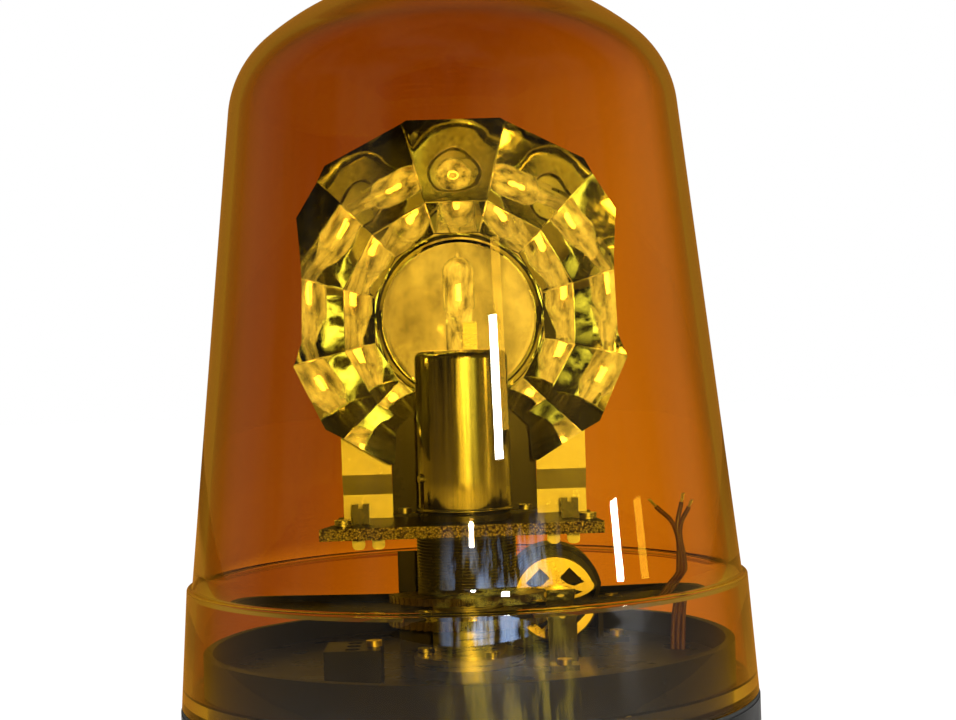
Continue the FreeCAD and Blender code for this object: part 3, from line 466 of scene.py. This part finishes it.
def rotor_plate_finish():
    """Black painted top, with the coarse bright grain of a cast edge on the sides."""
    shade = Shader("plate_cast_edge")
    normal = shade.add("ShaderNodeNewGeometry").outputs["True Normal"]
    flat = shade.step(shade.combine("ABSOLUTE", shade.part(normal, "Z")), 0.3, 0.6)
    grains = shade.node("ShaderNodeTexVoronoi", Scale=1500, Vector=shade.place)
    cast = shade.principled(
        Base_Color=shade.ramp(grains, (0.9, 0.8, 0.5), (0.14, 0.1, 0.05), 0.2, 0.75),
        Metallic=0.9, Roughness=0.3, Normal=shade.bump(grains, 1.0, 0.0005))
    fine = shade.noise(1700, 4, 0.6)
    paint = shade.principled(
        Base_Color=shade.ramp(shade.noise(60, 5), (0.012, 0.011, 0.01), (0.03, 0.026, 0.02)),
        Metallic=0.2, Roughness=shade.ramp(fine, 0.3, 0.45), Specular_IOR_Level=0.15,
        Normal=shade.bump(fine, 0.35, 0.00007))
    return shade.done(shade.mix(flat, cast, paint))


def finishes():
    """One material for each material slot of the CAD record."""
    return {
        "black_plastic": surface("grained_black", (0.005, 0.005, 0.005), (0.012, 0.011, 0.011),
                                 0, 0.34, 2200, 0.00006, shine=0.12),
        "rubber": surface("rubber", (0.015, 0.015, 0.015), (0.03, 0.03, 0.029), 0, 0.7, 1500, 0.00008),
        "dark_steel": surface("black_paint", (0.010, 0.009, 0.008), (0.020, 0.017, 0.014),
                              0, 0.3, 1700, 0.00005, shine=0.12),
        "hub_black": surface("filled_plastic", (0.014, 0.013, 0.012), (0.03, 0.028, 0.026),
                             0, 0.26, 2400, 0.00003, coat=0.4),
        "holder_plastic": surface("phenolic", (0.05, 0.028, 0.016), (0.09, 0.05, 0.028),
                                  0, 0.45, 1800, 0.00004),
        "wire_brown": surface("wire_insulation", (0.07, 0.022, 0.01), (0.13, 0.045, 0.02),
                              0, 0.35, 900, 0.00003),
        "gear_plastic": surface("dark_acetal", (0.035, 0.026, 0.018), (0.07, 0.05, 0.032),
                                0, 0.3, 1400, 0.00003),
        "capacitor": surface("varnish", (0.42, 0.2, 0.03), (0.55, 0.3, 0.06), 0, 0.2, 700, 0.00005, coat=0.5),
        "bright_steel": surface("bright_sheet", (0.4, 0.39, 0.34), (0.58, 0.57, 0.5),
                                0.55, 0.45, 1500, 0.00004),
        "brass": surface("brass", (0.6, 0.5, 0.24), (0.72, 0.62, 0.34), 1.0, 0.3, 1300, 0.00003),
        "bronze": surface("sintered_bronze", (0.32, 0.2, 0.09), (0.46, 0.3, 0.14), 0.9, 0.45, 2600, 0.00005),
        "zinc_steel": brushed("zinc_plate", (0.5, 0.48, 0.43), (0.74, 0.72, 0.66), 0.3, (0.08, 0.08, 1)),
        "sleeve_metal": brushed("sleeve_metal", (0.54, 0.52, 0.46), (0.8, 0.78, 0.72), 0.17, (1, 1, 0.03)),
        "mirror_plastic": mirror_coat(),
        "quartz": quartz_glass(),
        "tungsten": painted_glow_coil(),
        "amber_dome": amber_plastic(),
    }


# ---------------------------------------------------------------- pieces drawn again in finer detail
def dome_outline():
    """Closed outline of the dome wall, the same shape as the CAD dome with softened corners."""
    low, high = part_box("dome")
    foot, rim = low[2], high[0]
    wall, bend = 3.0 * MM, 30 * MM
    lean, join = math.radians(6), math.radians(50)
    step, top = foot + 33.7 * MM, foot + 167 * MM
    ledge, shelf = rim - 2.2 * MM, rim - 3.8 * MM
    end = shelf - (top - step) * math.tan(lean)
    centre = (end - bend * math.cos(lean), top - bend * math.sin(lean))
    crown = (centre[0] + bend * math.cos(join)) / math.cos(join)
    middle = (0, centre[1] + bend * math.sin(join) - crown * math.sin(join))
    outside = [(rim - 0.4 * MM, foot), (rim, foot + 0.5 * MM)]
    outside += line(outside[-1], (ledge, step - 1.1 * MM), 8)
    outside += arc((ledge - 0.8 * MM, step - 1.1 * MM), 0.8 * MM, 0.1, math.pi / 2, 5)
    outside += [(shelf + 0.25 * MM, step - 0.25 * MM), (shelf, step + 0.1 * MM)]
    outside += line((shelf, step), (end, top), 24)[:-1]
    outside += arc(centre, bend, lean, join, 20)
    outside += arc(middle, crown, join, math.pi / 2, 28)[1:-1] + [(0, middle[1] + crown)]
    inside = [(0, middle[1] + crown - wall)] + arc(middle, crown - wall, math.pi / 2, join, 28)[1:]
    inside += arc(centre, bend - wall, join, lean, 20)[1:]
    inside += line(inside[-1], (shelf - wall, step), 24)
    upper, lower = (ledge - wall + 0.1 * MM, step - 2.4 * MM), (rim - wall, foot + 5.8 * MM)
    inside += [(shelf - wall + 0.05 * MM, step - 0.8 * MM), (upper[0] - 0.1 * MM, upper[1] + 0.1 * MM)]
    inside += [upper] + line(upper, lower, 12)
    seat = 5 * MM
    inside += [(lower[0] - 0.6 * MM, foot + seat), (rim - 6.0 * MM, foot + seat), (rim - 6.0 * MM, foot)]
    return outside + inside


MIRROR_FOCUS = 22 * MM
MIRROR_WALL = 2.0 * MM
MIRROR_SIDES = 12
MIRROR_TOP = 54.2
MIRROR_RIM = [(13.0, MIRROR_TOP), (35.9, 42.2), (44.4, 28.2), (44.4, 16.3), (45.0, -6.3), (47.2, -13.1),
              (38.6, -31.0), (21.1, -41.6)]
MIRROR_NOTCH = [(20.6, -80), (19.3, -32.2), (13.6, -26.8), (13.6, -20.6)]


def mirror_depth(radius):
    """Ellipse with its foci at the filament and at the camera."""
    long_half = MIRROR_FOCUS + CAMERA_DISTANCE / 2
    short_square = long_half ** 2 - (CAMERA_DISTANCE / 2) ** 2
    return MIRROR_FOCUS - long_half * (1 - math.sqrt(1 - radius * radius / short_square))


def mirror_facets(middle):
    """Two rings of flat panels with beaded ridges, as one closed shell."""
    inner, bend, mid, outer = 25.9 * MM, 35 * MM, 57 * MM, 60 * MM
    slope = (mirror_depth(mid) - mirror_depth(bend)) / (mid - bend)
    levels = (mirror_depth(inner), mirror_depth(bend), mirror_depth(bend) + slope * (outer - bend))
    build = bmesh.new()
    layers = []
    for behind in (0, MIRROR_WALL * 1.2):
        layer = []
        for radius, level in zip((inner, bend, outer), levels):
            turns = [2 * math.pi * (index + 0.5) / MIRROR_SIDES for index in range(MIRROR_SIDES)]
            layer.append([build.verts.new((radius * math.cos(turn), level + behind,
                                           middle + radius * math.sin(turn))) for turn in turns])
        layers.append(layer)
    for index in range(MIRROR_SIDES):
        after = (index + 1) % MIRROR_SIDES
        for layer in layers:
            for near, far in zip(layer, layer[1:]):
                build.faces.new([near[index], far[index], far[after], near[after]])
        for ring in (0, -1):
            front, back = layers[0][ring], layers[1][ring]
            build.faces.new([front[index], front[after], back[after], back[index]])
    bmesh.ops.recalc_face_normals(build, faces=build.faces)
    face_side = sum(layers[0], [])
    ridges = [edge for edge in build.edges if all(vert in face_side for vert in edge.verts)]
    bmesh.ops.bevel(build, geom=ridges, offset=0.35 * MM, segments=2, affect="EDGES", profile=0.5)
    return build


def mirror_bowl(middle):
    """Round bowl with its raised lip, as a separate solid before joining."""
    bowl, lip = 22.5 * MM, 27.2 * MM
    crest = mirror_depth(bowl) - 2.2 * MM
    curve = [(bowl * k / 20, mirror_depth(bowl * k / 20)) for k in range(21)]
    bead = [(0.35, 0.9), (0.8, 0.25), (1.4, 0), (2.1, 0.25), (2.6, 0.9)]
    outline = curve + [(bowl + across * MM, crest + along * MM) for across, along in bead]
    outline += [(lip, mirror_depth(lip) + 0.2 * MM), (lip, mirror_depth(lip) + MIRROR_WALL)]
    outline += [(radius, along + MIRROR_WALL) for radius, along in reversed(curve)]
    build = revolve(outline, 96, lambda x, y, along: (x, along, middle + y))
    return mesh_from(build, "bowl")


def mirrored_prism(half, middle, depth):
    """Prism whose outline is a half outline in mm and its mirror image."""
    whole = half + [(-x, z) for x, z in reversed(half)]
    return prism([(x * MM, middle + z * MM) for x, z in whole], depth)


def reflector(material):
    """Reflector: panels and a smooth bowl in one shell, trimmed like the CAD part."""
    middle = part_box("reflector")[1][2] - MIRROR_TOP * MM
    piece = new_piece("mirror_shell", mesh_from(mirror_facets(middle), "mirror_shell"), material, "rotor")
    bowl = new_object("bowl", mirror_bowl(middle))
    bowl.data.materials.append(material)
    cut_with(piece, bowl, "UNION")
    cut_with(piece, mirrored_prism(MIRROR_RIM, middle, 60 * MM), "INTERSECT")
    cut_with(piece, mirrored_prism(MIRROR_NOTCH, middle, 60 * MM), "DIFFERENCE")
    piece.data.name = "mirror_shell"
    shade_smooth(piece.data)
    sharpen(piece, 11)
    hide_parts("reflector")


def bulb(glass, coil, wire):
    """Quartz capsule with pinched seal, and the coiled filament with its supports."""
    low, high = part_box("bulb_glass")
    radius, tip, base = high[0], high[2], low[2]
    inner = radius - 0.9 * MM
    shoulder, foot = tip - 2.9 * MM, tip - 17.1 * MM
    dome_centre = (0, shoulder - 3.2 * MM)
    outline = [(1.0 * MM, foot - 6 * MM), (2.0 * MM, foot - 6 * MM), (2.5 * MM, foot - 4 * MM),
               (3.6 * MM, foot - 1.2 * MM)]
    outline += arc((radius - 1.6 * MM, foot + 1.4 * MM), 1.6 * MM, -0.7, 0, 5)
    outline += [(radius, foot + 5 * MM), (radius, shoulder - 4 * MM)]
    outline += arc(dome_centre, radius, 0.05, 1.32, 10)
    outline += [(0.75 * MM, shoulder + 1.6 * MM), (0.5 * MM, shoulder + 2.4 * MM)]
    outline += [(0.25 * MM, tip - 0.1 * MM), (0, tip), (0, shoulder + 0.4 * MM)]
    outline += arc(dome_centre, inner, 1.4, 0.05, 10)
    outline += [(inner, foot + 1.6 * MM), (2.4 * MM, foot - 0.9 * MM), (1.0 * MM, foot - 1.8 * MM)]
    lathe("bulb_capsule", outline, glass, "lamp", ["bulb_glass"], 72)

    tall = foot + 1.0 * MM - base
    pinch = block((7.8 * MM, 3.2 * MM, tall), (0, 0, base + tall / 2))
    bmesh.ops.bevel(pinch, geom=pinch.edges[:], offset=0.7 * MM, segments=3, affect="EDGES", profile=0.5)
    new_piece("bulb_pinch", mesh_from(pinch, "bulb_pinch"), glass, "lamp")

    steps = 6 * 9
    coil_radius, coil_low, coil_height = 0.62 * MM, foot + 2.6 * MM, 5 * MM
    helix = [(coil_radius * math.cos(k * math.pi / 3), coil_radius * math.sin(k * math.pi / 3),
              coil_low + coil_height * k / steps) for k in range(steps + 1)]
    far_post = -2.6 * MM
    stems = [[(coil_radius, 0, base), (coil_radius, 0, coil_low)],
             [(-coil_radius, 0, base), (far_post, 0, foot), (far_post, 0, coil_low + 3 * MM), helix[-1]]]
    tube("bulb_coil", [helix], 0.17 * MM, coil, "lamp", ["bulb_filament"])
    tube("bulb_supports", stems, 0.16 * MM, wire, "lamp")


def hub(material):
    """Finely ribbed hub, drawn with the true rib pitch."""
    low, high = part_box("rotor_hub")
    radius, bore, neck = high[0], 10.0 * MM, 12.5 * MM
    shelf = low[2] + 5.7 * MM
    outline = [(bore, low[2]), (neck, low[2]), (neck, shelf), (radius - 0.3 * MM, shelf),
               (radius, shelf + 0.3 * MM), (radius, shelf + 2.4 * MM)]
    pitch, groove, soft = 0.9 * MM, 0.42 * MM, 0.1 * MM
    rib = [(groove, 0.08), (groove, 0.3), (soft, 0.42), (0, 0.55), (soft, 0.78)]
    foot = shelf + 2.6 * MM
    for index in range(int((high[2] - 1.2 * MM - foot) / pitch)):
        outline += [(radius - inward, foot + index * pitch + up * MM) for inward, up in rib]
    outline += [(radius, high[2] - 0.8 * MM), (radius, high[2]), (bore, high[2])]
    sharpen(lathe("hub_ribs", outline, material, "rotor", ["rotor_hub"], 120), 30)


def sleeve(material):
    """Drawn metal tube with a rolled foot, a rounded top and a slot for the pin."""
    low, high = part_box("bulb_sleeve")
    radius, wall = high[0] - 0.4 * MM, 1.0 * MM
    foot, top = low[2], high[2]
    outline = [(radius - wall, foot + 0.1 * MM)]
    outline += arc((radius - 0.1 * MM, foot + 0.5 * MM), 0.5 * MM, -math.pi / 2, math.pi / 2, 8)
    outline += [(radius, foot + 1.3 * MM), (radius, foot + 9 * MM), (radius, top - 12 * MM),
                (radius, top - 2.6 * MM)]
    outline += arc((radius - 2.4 * MM, top - 2.4 * MM), 2.4 * MM, 0.0, math.pi / 2, 10)[1:]
    outline += [(6.5 * MM, top), (6.2 * MM, top - 0.2 * MM), (6.2 * MM, top - wall)]
    outline += arc((radius - 2.6 * MM, top - 2.6 * MM), 1.6 * MM, math.pi / 2, 0, 8)
    piece = lathe("sleeve_tube", outline, material, "sleeve", ["bulb_sleeve"], 128)
    slot = block((8 * MM, 2.6 * MM, 24 * MM), (radius, 0, foot - 1 * MM))
    turn = Matrix.Rotation(math.radians(205), 3, "Z")
    bmesh.ops.rotate(slot, cent=(0, 0, 0), matrix=turn, verts=slot.verts)
    cut_with(piece, new_object("slot", mesh_from(slot, "slot")), "DIFFERENCE")
    shade_smooth(piece.data)
    sharpen(piece, 30)


def leads(insulation, copper):
    """Three loose supply leads with bared, splayed strands at their tips."""
    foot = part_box("loose_leads")[0][2]
    tips = [Vector((54.9, 13, 76.3)) * MM, Vector((66.0, 16, 77.6)) * MM, Vector((68.4, 14.0, 75.7)) * MM]
    strand_count, splay = 5, 0.45 * MM
    runs, strands = [], []
    for index, tip in enumerate(tips):
        shift = (index - 1) * 1.5
        points = [Vector((62 + shift, 15, foot / MM)), Vector((63 + shift, 15.5, 42)),
                  Vector((64.6 + shift * 0.7, 15, 56)), Vector((63.6 + shift * 0.7, 14.8, 68))]
        path = [point * MM for point in points]
        bared = path[-1].lerp(tip, 0.72)
        runs.append(path + [bared])
        for strand in range(strand_count):
            turn = 2 * math.pi * strand / strand_count
            lean = Vector((math.cos(turn), math.sin(turn), 0)) * splay
            strands.append([bared.lerp(tip, -0.1), bared + lean * 0.4, tip + lean])
    tube("lead_insulation", runs, 0.7 * MM, insulation, "housing", ["loose_leads"])
    tube("lead_strands", strands, 0.14 * MM, copper, "housing")


# ---------------------------------------------------------------- light, floor and camera
def side_tone(shade, direction, axis):
    """Backdrop seen through the dome: dark and warm on one side, pale on the other."""
    return shade.blend(shade.step(shade.dot(direction, axis), -0.09, 0.10), WALL_DARK_SIDE, WALL_PALE_SIDE)


def room():
    """World that is white to the camera, dim on its side and pale behind the dome."""
    shade = Shader("studio", world=True)
    bpy.context.scene.world = shade.owner
    height = shade.part(shade.place, "Z")
    dim = shade.ramp(shade.noise(2.2, 4, 0.6), (0.008, 0.008, 0.01), (0.15, 0.16, 0.13), 0.42, 0.68)
    wall = side_tone(shade, shade.place, (1.0, 0.0, -0.5))
    wall = shade.blend(shade.step(height, 0.3, 0.6), wall, (0.10, 0.09, 0.08))
    reflected = shade.combine("SUBTRACT", shade.ray("Glossy"), shade.ray("Transmission"), clamped=True)
    wall = shade.blend(reflected, wall, (0.42, 0.4, 0.36))
    light = shade.blend(shade.step(shade.part(shade.place, "Y"), 0.0, 0.34), dim, wall)

    near_camera = shade.step(shade.dot(shade.place, (0.24, -0.97, -0.02)), 0.90, 0.975)
    below = shade.step(height, 0.12, 0.07)
    blots = shade.step(shade.noise(19, 4, 0.65, (0.4, 1, 1)), 0.46, 0.6)
    daylight = shade.times(shade.times(near_camera, below), blots)
    light = shade.blend(daylight, light, (5.5, 8.0, 13.0))
    shade.done(shade.node("ShaderNodeBackground", Color=shade.blend(shade.ray("Camera"), light, WHITE)))


def floor():
    """Pale matt floor that is white to the camera."""
    bpy.ops.mesh.primitive_plane_add(size=6, location=(0, 1.0, cad_box[0][2] - 0.2 * MM))
    plane = bpy.context.object
    plane.name = "floor"
    shade = Shader("pale_floor")
    grain = shade.noise(30, 4)
    incoming = shade.add("ShaderNodeNewGeometry").outputs["Incoming"]
    tone = shade.blend(shade.ray("Camera"), side_tone(shade, incoming, (-1.0, 0.0, 0.5)), WHITE)
    glow = shade.node("ShaderNodeEmission", Color=tone, Strength=1.16)
    matt = shade.principled(Base_Color=shade.ramp(grain, (0.86, 0.86, 0.86), (0.92, 0.92, 0.92)),
                            Roughness=shade.ramp(grain, 0.6, 0.8))
    share = shade.ramp(shade.ray("Camera", "Transmission"), 0.06, 0.88, 0.0, 1.0)
    plane.data.materials.append(shade.done(shade.mix(share, matt, glow)))


def add_panel(name, place, width, height, power, colour=WHITE, hidden=False):
    """Soft rectangular lamp facing the beacon; a hidden one lights it without showing in the dome."""
    data = bpy.data.lights.new(name, "AREA")
    data.shape = "RECTANGLE"
    data.size, data.size_y = width, height
    data.energy = power
    data.color = colour
    lamp = new_object(name, data)
    lamp.location = place
    lamp.rotation_euler = (Vector((0, 0, 0.12)) - Vector(place)).to_track_quat("-Z", "Y").to_euler()
    if hidden:
        lamp.visible_camera = lamp.visible_transmission = lamp.visible_glossy = False


def lamps():
    """Flash beside the lens, two panels that show in the dome and two soft ones that don't."""
    add_panel("flash", (0.016, -0.492, 0.123), 0.012, 0.012, 2.2, (1.0, 0.97, 0.92))
    add_panel("window", (0.36, -1.40, 0.385), 0.085, 0.155, 5.0)
    add_panel("side_strip", (1.31, -0.70, 0.165), 0.08, 0.10, 3.0)
    add_panel("top", (0.1, -0.1, 1.2), 0.7, 0.7, 3.0, hidden=True)
    add_panel("rear", (-0.6, 1.0, 0.7), 0.8, 0.8, 4.0, hidden=True)


def camera():
    """Level camera close to the beacon, at the height of the lamp column, slightly rolled."""
    data = bpy.data.cameras.new("camera")
    data.sensor_width = 36
    data.lens = 64
    data.clip_start = 0.01
    eye = new_object("camera", data)
    right, up, roll = math.radians(0.586), math.radians(0.236), math.radians(1.8)
    aim = Vector((math.sin(right), math.cos(right), math.tan(up)))
    turn = aim.to_track_quat("-Z", "Y").to_matrix().to_4x4()
    place = Matrix.Translation((0, -CAMERA_DISTANCE, CAMERA_HEIGHT))
    eye.matrix_world = place @ turn @ Matrix.Rotation(-roll, 4, "Z")
    bpy.context.scene.camera = eye


def film():
    """Plain colour handling and enough bounces for light that crosses the dome several times."""
    scene = bpy.context.scene
    scene.view_settings.view_transform = "Standard"
    scene.view_settings.look = "None"
    scene.cycles.max_bounces = 16
    scene.cycles.transmission_bounces = 14
    scene.cycles.transparent_max_bounces = 24
    scene.cycles.glossy_bounces = 8
    scene.cycles.sample_clamp_indirect = 6
    scene.cycles.caustics_reflective = False
    scene.cycles.caustics_refractive = False


# ---------------------------------------------------------------- the model
FINISHES = finishes()
for entry in frame["record"]["subparts"]:
    materials = frame["nodes"][entry["node"]].data.materials
    materials.clear()
    materials.append(FINISHES[entry["material_slot"]])
frame["nodes"]["rotor_plate"].data.materials[0] = rotor_plate_finish()

dome = lathe("dome_shell", dome_outline(), FINISHES["amber_dome"], "dome_cover", ["dome"], 192)
sharpen(dome, 40)
reflector(FINISHES["mirror_plastic"])
bulb(FINISHES["quartz"], FINISHES["tungsten"], FINISHES["bright_steel"])
hub(FINISHES["hub_black"])
sleeve(FINISHES["sleeve_metal"])
leads(FINISHES["wire_brown"], FINISHES["brass"])

room()
floor()
lamps()
camera()
film()
